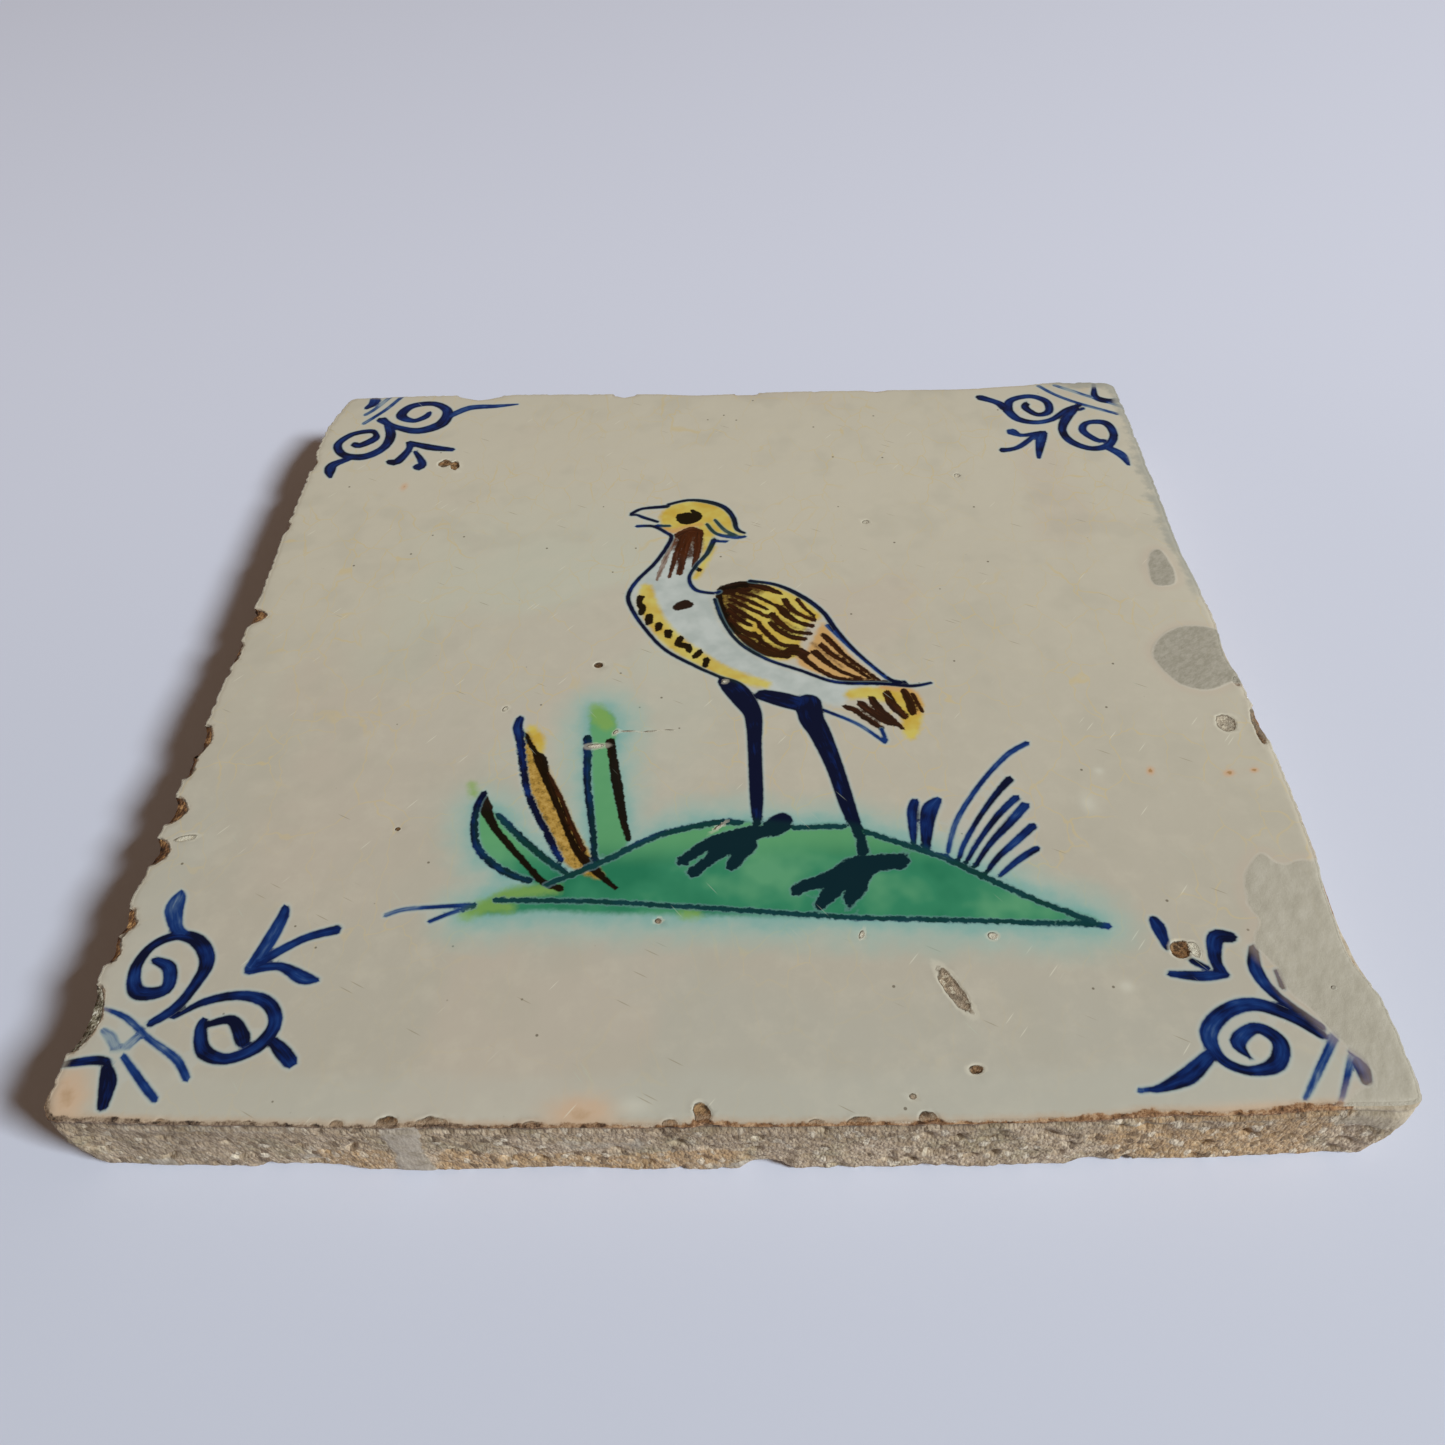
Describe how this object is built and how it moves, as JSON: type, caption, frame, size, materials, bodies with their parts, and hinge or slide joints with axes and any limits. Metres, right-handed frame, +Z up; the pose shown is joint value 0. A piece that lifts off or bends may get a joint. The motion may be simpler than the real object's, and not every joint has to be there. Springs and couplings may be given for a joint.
{
  "type": "delft tile",
  "caption": "Old square tin-glazed earthenware wall tile, hand painted with a wading bird on a grassy mound and scrolled corner motifs, with worn and chipped edges.",
  "frame": {"origin": "middle of the flat underside", "axes": "+Z up out of the painted face, +X to the right and +Y to the back as the picture is seen the right way up"},
  "size_m": [0.1315, 0.1315, 0.012],
  "materials": {
    "glaze": "warm white tin glaze with a soft gloss, faint crackle and specks, painted in cobalt blue, green, yellow and manganese brown under the shine",
    "clay": "bare buff to orange earthenware, sandy and matte, with traces of lime mortar",
    "filler": "matte grey-beige repair filler, scraped level with the glaze",
    "mortar": "pale matte lime mortar left in the hollows of the edges"
  },
  "bodies": {
    "root": {"tile": "glaze"}
  },
  "joints": []
}
